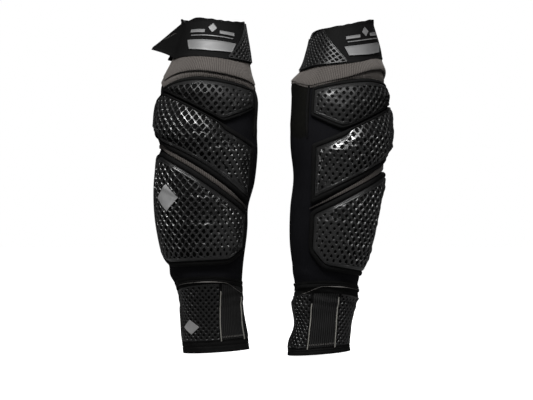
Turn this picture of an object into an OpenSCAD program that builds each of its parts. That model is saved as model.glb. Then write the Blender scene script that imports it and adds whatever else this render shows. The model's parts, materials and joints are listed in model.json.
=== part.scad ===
// A pair of soft knee and shin guards, standing upright as they are worn: a stretch sleeve from above
// the knee to the ankle, a strap round the thigh, three moulded pads over foam, and an ankle cuff.
// The fronts face -Y, up is +Z, and both guards are turned a little to +X. One guard is drawn in a
// frame of its own, centred on the ankle, and the left one is its mirror image.
// On a guard, angles run round the leg from the middle of the front: 90 is the outer side of the
// leg, -90 the inner side and 180 the back. Offsets are measured outwards from the sleeve's face.

/* [Leg sleeve] */
// Height of a guard, from the cuff's hem to the strap's top edge
guard_h = 500; // [490:1:510]
// Width of the sleeve across the knee
knee_w = 147; // [142:1:152]
// Depth of the sleeve at the knee, front to back
knee_d = 126; // [120:1:132]
// Thickness of the sleeve's fabric
sleeve_t = 2; // [1.5:0.1:2.5]
// How far the knee stands forward of a straight line between the guard's two ends
knee_forward = 14; // [0:1:20]

/* [Pads] */
// Thickness of the foam under a pad
foam_t = 7; // [5:0.5:9]
// Thickness of the moulded cover over the foam
cover_t = 5; // [3:0.5:6]
// Angle at which the pads end on the outer side of the leg
pad_outer_a = 96; // [72:1:100]
// Angle at which the pads end on the inner side of the leg
pad_inner_a = -46; // [-52:1:-42]
// Height of the shin pad's lower edge
shin_pad_low = 130; // [124:1:136]
// Height of the upper pad's top edge at its highest
upper_pad_high = 411; // [406:1:414]

/* [Flex lines] */
// Height of the groove between the upper pad and the knee pad, at the middle of the front
groove_z = 346; // [342:1:350]
// Rise of the groove for each millimetre towards the outer side
groove_rise = 0.54; // [0.45:0.01:0.6]
// Height of the flex strip below the knee pad, at the middle of the front
strip_z = 254; // [250:1:258]
// Rise of the flex strip for each millimetre towards the outer side
strip_rise = 0.61; // [0.5:0.01:0.65]
// Width of the flex strip
strip_w = 7; // [5:0.5:8]
// How far the flex axes lie in front of the leg's centre
flex_forward = 20; // [10:1:25]

/* [Strap] */
// Height of the strap's lower edge
strap_low = 440; // [436:1:446]
// Thickness of the strap's webbing
strap_t = 2.2; // [1.5:0.1:3]
// Length of the strap's free end
tab_l = 52; // [45:1:60]

/* [Ankle cuff] */
// Height of the cuff's top edge at the back
cuff_h = 99; // [92:1:104]
// Rise of the cuff's top edge to the front
cuff_arch = 14; // [0:1:16]
// Width of the ribbed panel on the front of the cuff, in degrees round the leg
rib_panel_a = 52; // [44:1:58]

/* [Pair] */
// Distance from the middle of the pair to the left guard's ankle
left_x = 83; // [80:1:100]
// Distance from the middle of the pair to the right guard's ankle
right_x = 68; // [66:1:90]
// Turn of both fronts towards +X, in degrees
yaw = 17; // [0:1:25]
// Lean of the left guard towards +X, in degrees
left_lean = -0.7; // [-1:0.1:1]
// Lean of the right guard towards +X, in degrees
right_lean = 4.4; // [0:0.1:5]

/* [Hidden] */
PIECES = [
    "thigh_sleeve", "rib_panel", "thigh_strap", "strap_badge", "strap_bars", "strap_grip_panel",
    "strap_loop_patch", "gripper_strip", "upper_pad_foam", "upper_pad_cover", "thigh_mesh_panel",
    "strap_tab", "strap_hook_patch", "upper_gusset", "knee_sleeve", "knee_pad_foam",
    "knee_pad_cover", "lower_gusset", "flex_strip", "shin_sleeve", "shin_pad_foam",
    "shin_pad_cover", "calf_panel", "ankle_cuff", "cuff_binding", "cuff_rib_panel",
    "cuff_grip_panels", "cuff_piping", "cuff_hem"
];
SIDES = ["left", "right"];

// Half width and half depth of the sleeve along its height, as shares of their values at the knee
width_shape = [
    [0, 0.63], [0.16, 0.61], [0.26, 0.73], [0.4, 0.86], [0.54, 0.94],
    [0.69, 1], [0.8, 0.94], [0.88, 0.78], [1, 0.57]
];
depth_shape = [
    [0, 0.61], [0.16, 0.6], [0.26, 0.76], [0.4, 0.93], [0.54, 0.97],
    [0.69, 1], [0.8, 0.92], [0.88, 0.84], [1, 0.7]
];

// The left guard lies a little flatter and bows further to its outer side than the right one
left_spread = 1.075;
right_spread = 0.985;
left_bow = 25;
right_bow = 2;
// Each cuff sits turned a little on its leg, which carries its front panel round with it
rib_panel_centre = -20;
left_cuff_turn = -6;
right_cuff_turn = 9;

gap = 0.4;                       // clearance between two layers
panel_in = gap + 0.3;            // inner face of a panel that is faceted unlike the sleeve below it
seam = 0.75;                     // half the gap between two pieces of sleeve at a flex line
groove_half = 1.5;               // half the gap between the upper and knee pads
upper_wedge = 0.36;              // slope of the cuts behind the knee, each side of the upper line
lower_wedge = 0.44;              // and each side of the lower line
pad_edge_t = 2;                  // thickness of a pad's rolled edge
foam_inset = 8;                  // how far a pad's foam stops inside the cover's edge
foam_edge = 1.9;                 // offset of the foam's outer face along its outline
rib_t = 1.5;                     // thickness of the knitted rib panel
trim_t = 1;                      // thickness of badges, patches and thin panels
left_strap_tilt = 0.1;           // each strap's edges rise this much per millimetre outwards
right_strap_tilt = 0.26;
strap_start_a = 84;              // the strap runs from here, round the front, to the outer back
strap_end_a = -248;
strap_in = panel_in + rib_t + gap;
strap_out = strap_in + strap_t;
patch_out = strap_out + gap + trim_t;
hook_out = patch_out + gap + 0.8;
round_cols = 36;                 // facets round a whole sleeve

// ---- The sleeve's surface ----

function outward(z) = $spread * knee_w / 2 * lookup(z / guard_h, width_shape);
function fore_aft(z) = knee_d / 2 * lookup(z / guard_h, depth_shape);
function centre_x(z) = $bow * sin(180 * pow(z / guard_h, 0.85));
function centre_y(z) = -knee_forward * sin(180 * pow(z / guard_h, 1.3));

// The point of the sleeve at angle a and height z, moved out by off
function skin(a, z, off) = [
    centre_x(z) + (outward(z) + off) * sin(a),
    centre_y(z) - (fore_aft(z) + off) * cos(a),
    z
];

function level(z) = function(a) z;
function flat(off) = function(s, t) off;
function shifted(line, dz) = function(a) line(a) + dz;

// A pad's section: edge thick along its outline, and full over most of its face
function roll(u) = 1 - pow(abs(2 * u - 1), 6);
function crown(full, edge) = function(s, t) edge + (full - edge) * roll(s) * roll(t);

function quad(p, q, r, s) = [[p, q, r], [p, r, s]];

// A curved slab on the sleeve, between angles a0 and a1 and the heights low(a) and high(a). It fills
// the offsets from inner(s, t) to outer(s, t), where s and t run from 0 to 1 across its outline.
module slab(a0, a1, low, high, inner, outer, cols = 12, rows = 3, closed = false) {
    last = closed ? cols - 1 : cols;
    row_n = rows + 1;
    face_n = (last + 1) * row_n;
    function spot(i, j, off) =
        let (a = a0 + (a1 - a0) * i / cols)
        skin(a, low(a) + (high(a) - low(a)) * j / rows, off(i / cols, j / rows));
    function o(i, j) = (closed ? i % cols : i) * row_n + j;
    function n(i, j) = face_n + o(i, j);
    points = [for (off = [outer, inner], i = [0:last], j = [0:rows]) spot(i, j, off)];
    faces = [for (f = concat(
        [for (i = [0:cols - 1], j = [0:rows - 1])
            [o(i, j), o(i, j + 1), o(i + 1, j + 1), o(i + 1, j)]],
        [for (i = [0:cols - 1], j = [0:rows - 1])
            [n(i, j), n(i + 1, j), n(i + 1, j + 1), n(i, j + 1)]],
        [for (i = [0:cols - 1]) [o(i, 0), o(i + 1, 0), n(i + 1, 0), n(i, 0)]],
        [for (i = [0:cols - 1]) [o(i + 1, rows), o(i, rows), n(i, rows), n(i + 1, rows)]],
        closed ? [] : [for (j = [0:rows - 1]) [o(0, j + 1), o(0, j), n(0, j), n(0, j + 1)]],
        closed ? [] : [for (j = [0:rows - 1])
            [o(cols, j), o(cols, j + 1), n(cols, j + 1), n(cols, j)]]
    )) each quad(f[0], f[1], f[2], f[3])];
    polyhedron(points, faces, convexity = 8);
}

// The same slab all the way round the leg
module ring(low, high, inner, outer, rows = 3, cols = round_cols) {
    slab(-180, 180, low, high, flat(inner), flat(outer), cols, rows, closed = true);
}

// Draws a guard's piece at its place in the pair
module placed(side) {
    is_left = side == "left";
    $spread = is_left ? left_spread : right_spread;
    $bow = is_left ? left_bow : right_bow;
    $cuff_turn = is_left ? left_cuff_turn : right_cuff_turn;
    $strap_tilt = is_left ? left_strap_tilt : right_strap_tilt;
    $worn_open = is_left;
    lean = is_left ? left_lean : right_lean;
    translate([is_left ? -left_x : right_x, 0, outward(0) * abs(sin(lean))])
        rotate([0, lean, yaw])
            mirror([is_left ? 1 : 0, 0, 0])
                children();
}

// ---- The lines that bound the pieces ----

function behind_axis(a, z) = max(0, flex_forward - fore_aft(z) * cos(a));
function groove(a) = groove_z + groove_rise * (outward(groove_z) + foam_t) * sin(a);
function strip(a) = strip_z + strip_rise * (outward(strip_z) + foam_t) * sin(a);

// Edges above and below each flex line, half a gap away, which open into a wedge at the back
function above_groove(half) =
    function(a) groove(a) + half + upper_wedge * behind_axis(a, groove_z);
function below_groove(half) =
    function(a) groove(a) - half - upper_wedge * behind_axis(a, groove_z);
function above_strip(half) =
    function(a) strip(a) + half + lower_wedge * behind_axis(a, strip_z);
function below_strip(half) =
    function(a) strip(a) - half - lower_wedge * behind_axis(a, strip_z);

// The upper pad: an arched top, and a lower edge that leaves the groove at its point
upper_pad_outer_a = 70;
upper_pad_peak_a = 25;
upper_pad_point_a = -5;
upper_pad_lift = 0.62;
function upper_pad_top(a) = upper_pad_high - (a > upper_pad_peak_a
    ? 15 * pow((a - upper_pad_peak_a) / 45, 2)
    : 19 * pow(min(2.2, (upper_pad_peak_a - a) / 68), 1.5));
function upper_pad_bottom(a) = a > upper_pad_point_a
    ? groove(a) + groove_half
    : groove(upper_pad_point_a) + groove_half + upper_pad_lift * (upper_pad_point_a - a);
function pad_arc(a) = upper_pad_top(max(-75, min(80, a)));

function strap_low_edge(a) = strap_low + $strap_tilt * outward(strap_low) * sin(a);
function strap_high_edge(a) = guard_h - 5 + $strap_tilt * outward(guard_h) * sin(a);
function cuff_top(a) = cuff_h + cuff_arch * (1 + cos(a)) / 2;

// ---- Pads, each a foam layer under a moulded cover ----

module pad_foam(a0, a1, low, high) {
    color([0.16, 0.16, 0.17])
        slab(a0 + foam_inset, a1 - foam_inset, shifted(low, foam_inset),
             shifted(high, -foam_inset), flat(2 * gap), crown(foam_t - gap / 2, foam_edge), 10, 5);
}

module pad_cover(a0, a1, low, high) {
    color([0.05, 0.05, 0.06])
        slab(a0, a1, low, high, crown(foam_t + 2 * gap, gap),
             crown(foam_t + 2 * gap + cover_t, gap + pad_edge_t), 15, 7);
}

module upper_pad_foam() {
    pad_foam(pad_inner_a + 2, upper_pad_outer_a,
             function(a) upper_pad_bottom(a), function(a) upper_pad_top(a));
}

module upper_pad_cover() {
    pad_cover(pad_inner_a + 2, upper_pad_outer_a,
              function(a) upper_pad_bottom(a), function(a) upper_pad_top(a));
}

module knee_pad_foam() {
    pad_foam(pad_inner_a, pad_outer_a, above_strip(strip_w / 2 + gap), below_groove(groove_half));
}

module knee_pad_cover() {
    pad_cover(pad_inner_a, pad_outer_a, above_strip(strip_w / 2 + gap), below_groove(groove_half));
}

module shin_pad_foam() {
    pad_foam(pad_inner_a, pad_outer_a, level(shin_pad_low), below_strip(strip_w / 2 + gap));
}

module shin_pad_cover() {
    pad_cover(pad_inner_a, pad_outer_a, level(shin_pad_low), below_strip(strip_w / 2 + gap));
}

// ---- Sleeve ----

module thigh_sleeve() {
    color([0.06, 0.06, 0.08])
        ring(above_groove(seam), function(a) strap_high_edge(a) - 2, -sleeve_t, 0, 9);
}

module knee_sleeve() {
    color([0.06, 0.06, 0.08])
        ring(above_strip(seam), below_groove(seam), -sleeve_t, 0, 3);
}

module shin_sleeve() {
    color([0.06, 0.06, 0.08])
        ring(function(a) cuff_top(a) + gap, below_strip(seam), -sleeve_t, 0, 5);
}

// Stretch panels that close the wedges behind the knee
module gusset(low, high) {
    color([0.1, 0.1, 0.12])
        slab(100, 260, low, high, flat(gap - sleeve_t), flat(-gap), 18, 2);
}

module upper_gusset() {
    gusset(below_groove(seam - gap), above_groove(seam - gap));
}

module lower_gusset() {
    gusset(below_strip(seam - gap), above_strip(seam - gap));
}

// The ribbed band that shows between the knee pad and the shin pad
module flex_strip() {
    color([0.4, 0.37, 0.35])
        slab(pad_inner_a, pad_outer_a, above_strip(-strip_w / 2), below_strip(-strip_w / 2),
             flat(gap), flat(gap + rib_t), 16, 1);
}

// Knitted band round the thigh, between the pads and the strap
module rib_panel() {
    color([0.4, 0.37, 0.35])
        ring(function(a) max(pad_arc(a) + gap, above_groove(3)(a)),
             function(a) strap_low_edge(a) + 6, panel_in, panel_in + rib_t, 5);
}

// Breathable mesh on the inner side of the knee
module thigh_mesh_panel() {
    color([0.12, 0.12, 0.1])
        slab(-105, pad_inner_a - 1, function(a) groove(a) + 14 + upper_wedge * behind_axis(a, groove_z),
             function(a) pad_arc(a) - gap, flat(panel_in), flat(panel_in + trim_t), 8, 3);
}

// Breathable mesh over the calf
module calf_panel() {
    color([0.12, 0.12, 0.12])
        slab(125, 235, level(cuff_h + 30), function(a) below_strip(12)(a), flat(panel_in),
             flat(panel_in + trim_t), 12, 4);
}

// Silicone band inside the top of the sleeve
module gripper_strip() {
    color([0.25, 0.25, 0.27])
        ring(function(a) strap_high_edge(a) - 22, function(a) strap_high_edge(a) - 6,
             -sleeve_t - gap - trim_t, -sleeve_t - gap, 1);
}

// ---- Thigh strap ----

module thigh_strap() {
    color([0.08, 0.08, 0.08])
        slab(strap_end_a, strap_start_a, function(a) strap_low_edge(a),
             function(a) strap_high_edge(a), flat(strap_in), flat(strap_out), 38, 2);
}

// Plain light panel with slanted ends on the front of the strap
module strap_badge() {
    badge_low = 12;
    badge_high = 28;
    color([0.66, 0.66, 0.66])
        slab(-18, 58, function(a) strap_low_edge(a) + badge_low + 1.4 * max(0, abs(a - 20) - 30),
             function(a) strap_low_edge(a) + badge_high,
             flat(strap_out + gap), flat(strap_out + gap + trim_t), 22, 1);
}

// Two plain raised bars above the badge
module strap_bars() {
    bar_h = 2.5;
    color([0.6, 0.6, 0.6])
        for (lift = [33, 40])
            slab(-16, 56, function(a) strap_low_edge(a) + lift,
                 function(a) strap_low_edge(a) + lift + bar_h, flat(strap_out + gap),
                 flat(strap_out + gap + trim_t), 14, 1);
}

// Rubber lattice on the inner side of the strap, with a slanted front edge
module strap_grip_panel() {
    color([0.1, 0.1, 0.1])
        slab(-112, -12, function(a) strap_low_edge(a) + 2,
             function(a) min(strap_high_edge(a) - 3, strap_low_edge(a) + 5 + 1.22 * (-12 - a)),
             flat(strap_out + gap), flat(strap_out + gap + trim_t), 16, 2);
}

// Loop half of the strap's fastening, on the outer back of the strap
module strap_loop_patch() {
    color([0.12, 0.12, 0.13])
        slab(-232, -188, function(a) strap_low_edge(a) + 8, function(a) strap_high_edge(a) - 8,
             flat(strap_out + gap), flat(patch_out), 8, 1);
}

// The strap's free end. On the right guard it lies closed over the loop patch; on the left guard
// it stands open, bent away from the leg, with its tip drooping.
tab_root_a = strap_start_a + 2;
tab_wrap_a = 84;                 // how far round the leg the closed end reaches
tab_root_heading = 68;           // direction of the open end at its root, from the leg's outer side
tab_bend = 20;                   // and how much it bends forwards by its tip
function tab_heading(s) = tab_root_heading - tab_bend * s;
function tab_low(s) = strap_low + 3 + 14 * s;
function tab_high(s) = guard_h - 5 - 36 * s;

// The arc that the open end follows, at share s of its length and at height z
function tab_spot(s, z) =
    let (turn_r = tab_l / (tab_bend * PI / 180), h0 = tab_root_heading, h = tab_heading(s))
    skin(tab_root_a, z, strap_in) + turn_r * [sin(h0) - sin(h), cos(h) - cos(h0), 0];

// A sheet along the open end, between shares s0 and s1 of its length and offsets near and far
module open_sheet(s0, s1, near, far, low, high, cols = 8) {
    function spot(i, off, up) =
        let (s = s0 + (s1 - s0) * i / cols, h = tab_heading(s), z = up ? high(s) : low(s))
        tab_spot(s, z) + off * [sin(h), -cos(h), 0];
    points = [for (i = [0:cols], c = [[far, false], [far, true], [near, true], [near, false]])
        spot(i, c[0], c[1])];
    faces = [for (f = concat(
        [[3, 2, 1, 0]],
        [for (i = [0:cols - 1], k = [0:3])
            [4 * i + k, 4 * i + (k + 1) % 4, 4 * i + 4 + (k + 1) % 4, 4 * i + 4 + k]],
        [[0, 1, 2, 3] + 4 * cols * [1, 1, 1, 1]]
    )) each quad(f[0], f[1], f[2], f[3])];
    polyhedron(points, faces, convexity = 4);
}

module strap_tab() {
    rise = hook_out + gap - strap_in;
    wrap = function(s, t) strap_in + rise * min(1, s / 0.35);
    color([0.08, 0.08, 0.08])
        if ($worn_open)
            open_sheet(0, 1, 0, strap_t, function(s) tab_low(s), function(s) tab_high(s));
        else
            slab(tab_root_a, tab_root_a + tab_wrap_a, function(a) tab_low((a - tab_root_a) / tab_wrap_a),
                 function(a) tab_high((a - tab_root_a) / tab_wrap_a), wrap,
                 function(s, t) wrap(s, t) + strap_t, 14, 1);
}

// Hook half of the fastening, on the tab's inner face
module strap_hook_patch() {
    color([0.05, 0.05, 0.05])
        if ($worn_open)
            open_sheet(0.45, 0.9, -gap - 0.8, -gap, function(s) tab_low(s) + 4,
                       function(s) tab_high(s) - 4);
        else
            slab(tab_root_a + 40, tab_root_a + 70, level(strap_low + 17), level(guard_h - 36),
                 flat(patch_out + gap), flat(hook_out), 6, 1);
}

// ---- Ankle cuff ----

function panel_a(share) = rib_panel_centre + $cuff_turn + share * rib_panel_a / 2;
hem_h = 16;
panel_low = hem_h + 1;

module ankle_cuff() {
    color([0.07, 0.07, 0.07])
        ring(level(0), function(a) cuff_top(a), -sleeve_t, 0, 4);
}

module cuff_hem() {
    color([0.05, 0.05, 0.05])
        ring(level(0), level(hem_h), gap, gap + trim_t, 1);
}

module cuff_binding() {
    color([0.09, 0.09, 0.09])
        ring(function(a) cuff_top(a) - 6, function(a) cuff_top(a) + 3, gap, gap + trim_t, 1);
}

module cuff_rib_panel() {
    color([0.05, 0.05, 0.05])
        slab(panel_a(-1) + 2, panel_a(1) - 2, level(panel_low), function(a) cuff_top(a) - 8,
             flat(gap), flat(gap + rib_t), 8, 2);
}

module cuff_piping() {
    half_a = 1.3;
    color([0.6, 0.6, 0.58])
        for (share = [-1, 1])
            slab(panel_a(share) - half_a, panel_a(share) + half_a, level(panel_low),
                 function(a) cuff_top(a) - 8, flat(1.5 * gap), flat(1.5 * gap + rib_t + 0.4), 2, 5);
}

module cuff_grip_panels() {
    color([0.09, 0.09, 0.09]) {
        slab(panel_a(1) + 3, 118, level(panel_low), function(a) cuff_top(a) - 8, flat(gap),
             flat(gap + trim_t), 12, 2);
        slab(-118, panel_a(-1) - 3, level(panel_low), function(a) cuff_top(a) - 8, flat(gap),
             flat(gap + trim_t), 8, 2);
    }
}

// ---- The pair ----

for (side = SIDES) {
    placed(side) thigh_sleeve();
    placed(side) rib_panel();
    placed(side) thigh_strap();
    placed(side) strap_badge();
    placed(side) strap_bars();
    placed(side) strap_grip_panel();
    placed(side) strap_loop_patch();
    placed(side) gripper_strip();
    placed(side) upper_pad_foam();
    placed(side) upper_pad_cover();
    placed(side) thigh_mesh_panel();
    placed(side) strap_tab();
    placed(side) strap_hook_patch();
    placed(side) upper_gusset();
    placed(side) knee_sleeve();
    placed(side) knee_pad_foam();
    placed(side) knee_pad_cover();
    placed(side) lower_gusset();
    placed(side) flex_strip();
    placed(side) shin_sleeve();
    placed(side) shin_pad_foam();
    placed(side) shin_pad_cover();
    placed(side) calf_panel();
    placed(side) ankle_cuff();
    placed(side) cuff_binding();
    placed(side) cuff_rib_panel();
    placed(side) cuff_grip_panels();
    placed(side) cuff_piping();
    placed(side) cuff_hem();
}
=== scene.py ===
import json
import math

import bpy
import numpy as np
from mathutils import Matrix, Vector


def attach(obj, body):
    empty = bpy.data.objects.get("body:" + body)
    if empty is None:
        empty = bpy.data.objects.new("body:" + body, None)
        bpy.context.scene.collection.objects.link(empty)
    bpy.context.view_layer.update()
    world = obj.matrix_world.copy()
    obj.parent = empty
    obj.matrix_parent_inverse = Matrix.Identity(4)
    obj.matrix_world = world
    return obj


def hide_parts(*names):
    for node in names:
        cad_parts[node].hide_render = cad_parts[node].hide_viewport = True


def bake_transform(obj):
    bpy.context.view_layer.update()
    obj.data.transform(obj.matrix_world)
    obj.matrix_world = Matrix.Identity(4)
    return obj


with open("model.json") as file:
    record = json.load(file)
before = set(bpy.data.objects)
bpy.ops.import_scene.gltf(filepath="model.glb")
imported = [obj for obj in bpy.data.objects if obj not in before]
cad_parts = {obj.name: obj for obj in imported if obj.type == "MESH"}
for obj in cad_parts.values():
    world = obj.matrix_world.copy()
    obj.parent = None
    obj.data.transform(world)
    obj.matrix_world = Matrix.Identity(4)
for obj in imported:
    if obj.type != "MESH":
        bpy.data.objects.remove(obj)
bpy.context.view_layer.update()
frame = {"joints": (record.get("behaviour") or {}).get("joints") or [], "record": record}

# A pair of soft knee and shin guards, as they are worn. Each guard is built in a frame of its own, in
# millimetres: x to the outer side of the leg, y to the back, z up from the ankle. Angles run round the
# leg from the middle of the front: 90 is the outer side, -90 the inner side and 180 the back.

RECORD = frame["record"]
MM = 0.001
SIDES = ("left", "right")
UV_MAP = "cloth_mm"          # u round the leg and v up it, in millimetres

# ---- Sizes that both guards share, as in the part's source ----

GUARD_H = 500
KNEE_W = 147
KNEE_D = 126
KNEE_FORWARD = 14
WIDTH_SHAPE = [
    (0, 0.63), (0.16, 0.61), (0.26, 0.73), (0.4, 0.86), (0.54, 0.94),
    (0.69, 1), (0.8, 0.94), (0.88, 0.78), (1, 0.57),
]
DEPTH_SHAPE = [
    (0, 0.61), (0.16, 0.6), (0.26, 0.76), (0.4, 0.93), (0.54, 0.97),
    (0.69, 1), (0.8, 0.92), (0.88, 0.84), (1, 0.7),
]
SLEEVE_T = 1.6               # the knitted sleeve, whose outer face is offset 0
LAYER = 0.4                  # clearance between two layers
FOAM_TOP = 7.0
PAD_TOP = 12.8               # offset of a pad's face where it is thickest
PAD_OUTER_A = 96
GROOVE_RISE = 0.54
GROOVE_HALF = 1.5
STRIP_RISE = 0.61
STRIP_W = 8.6
STRAP_LOW = 440
STRAP_IN = 2.6
STRAP_T = 2.2
TRIM_OFF = STRAP_IN + STRAP_T + LAYER
TRIM_IN = TRIM_OFF - 0.6     # what is stuck on the strap starts inside the strap's face
RIBS = 160
RIB_PITCH = 2.63             # the ribs' spacing round the top of the leg
UPPER_FLEX_REACH = 40        # the sleeve bends this far above and below the upper flex line
LOWER_FLEX_REACH = 50
FLEX_BODIES = {"upper": ("thigh", "knee"), "lower": ("knee", "shin")}
CUFF_Z = 50                  # heights whose girths turn angles into lengths round the leg
SLEEVE_Z = 300
RIB_Z = 420
STRAP_Z = 470
ALL_ROUND = (-180, 180)

# How each guard is worn. Lines are (height, rise to the outer side), in millimetres; those of the
# flex lines are added to the joint's own height and multiply its rise. pad_fall is how far the
# upper pad's top comes down at its outer end, cuff_top is (height, arch, angle of the top) and hem
# is (height, rise, width). A dip is (angle, half its width, depth). The outer and inner tables are
# (height, millimetres by which the guard stands out more at that side than the shared shape).
LOOKS = {
    "left": {
        "spread": 1.075, "bow": 25, "cuff_turn": -6, "cuff_twist": -11, "seed": 3,
        "groove": (6.5, 0.95), "strip": (8.5, 1.05), "strap_low": (440, 4), "strap_top": (502.5, 3),
        "pad_top": 416, "pad_fall": 12, "upper_pad_outer": 80, "shin_low": (137, -2), "shin_corner": 14,
        "cuff_top": (98, 20, 12), "hem": (7.4, -2.2, 17), "badge_a": 16, "slimmer": 5,
        "low_dips": ((25, 70, -4.5),), "top_dips": ((-15, 55, 3), (74, 26, 6)), "strip_wider": -0.2,
        "piping_drops": (14, 11), "upper_pad_inner": -49, "upper_pad_point": -7, "pad_inner": -53,
        "outer": [(0, 0), (60, -3), (106, -8), (142, 1), (185, 4), (255, 2), (292, -2.5), (335, -1.5),
                  (352, 1.5), (395, 0), (425, -4), (455, -5), (505, 0)],
        "inner": [(0, 0.5), (40, 4), (78, 4), (120, 1), (195, 1.5), (220, -1), (260, 5), (300, 4.5),
                  (340, -1.5), (395, -1.5), (414, -3.5), (440, 0), (505, 1)],
    },
    "right": {
        "spread": 0.985, "bow": 2, "cuff_turn": 9, "cuff_twist": -2, "seed": 8,
        "groove": (-5, 0.93), "strip": (-7, 0.94), "strap_low": (436, 12), "strap_top": (495, 13),
        "pad_top": 414, "pad_fall": 5, "upper_pad_outer": 92, "shin_low": (124, -4), "shin_corner": 22,
        "cuff_top": (96, 12, 10), "hem": (1.5, 7, 10), "badge_a": 24, "slimmer": 0,
        "low_dips": ((-100, 52, 5),), "top_dips": ((-100, 52, 10), (95, 35, 8)), "strip_wider": 0.5,
        "piping_drops": (15, 5), "upper_pad_inner": -51, "upper_pad_point": -12, "pad_inner": -48,
        "outer": [(0, 2.5), (35, 0.5), (65, 3.5), (92, 6), (118, -6), (160, -7), (235, -1.5), (280, 9),
                  (320, 1.5), (345, 2.5), (368, 8), (405, -3), (425, -2.5), (452, 4), (505, 1.5)],
        "inner": [(0, 0.5), (16, 1), (38, -4), (70, 3.5), (92, 0), (165, 2.5), (215, 0), (260, -4),
                  (300, 0), (380, 1.5), (402, 4.5), (422, -4), (450, -5.5), (505, -2)],
    },
}


def lookup(share, table):
    """Smooth curve through a table's points."""
    xs, ys = np.array(table, float).T
    slopes = np.gradient(ys, xs)
    i = np.clip(np.searchsorted(xs, share, side="right") - 1, 0, len(xs) - 2)
    width = xs[i + 1] - xs[i]
    t = np.clip((share - xs[i]) / width, 0, 1)
    return (
        (2 * t**3 - 3 * t**2 + 1) * ys[i]
        + (t**3 - 2 * t**2 + t) * width * slopes[i]
        + (3 * t**2 - 2 * t**3) * ys[i + 1]
        + (t**3 - t**2) * width * slopes[i + 1]
    )


def smoothstep(low, high, x):
    """0 at low and beyond it, 1 at high and beyond it; high may be the lesser."""
    t = np.clip((np.asarray(x, float) - low) / (high - low), 0, 1)
    return t * t * (3 - 2 * t)


def hump(x, centre, half):
    """A smooth bump of height 1 over centre - half to centre + half."""
    t = np.clip(np.abs((np.asarray(x, float) - centre) / half), 0, 1)
    return (1 - t * t) ** 2


def ripples(s, z, wave, seed, count=7, stretch=1.0):
    """Uneven waves about `wave` mm long, from -1 to 1; stretch > 1 makes them longer up the leg."""
    rng = np.random.default_rng(seed)
    total = np.zeros(np.broadcast(s, z).shape)
    for _ in range(count):
        heading, phase = rng.uniform(0, math.pi), rng.uniform(0, 2 * math.pi)
        length = wave * rng.uniform(0.7, 1.6)
        along = s * math.cos(heading) + z * math.sin(heading) / stretch
        total += np.sin(2 * math.pi * along / length + phase)
    return total / count * 1.6


def to_side(a):
    """1 at the outer side of the leg, -1 at its inner side, 0 at its front and back."""
    return np.sin(np.radians(a))


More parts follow.
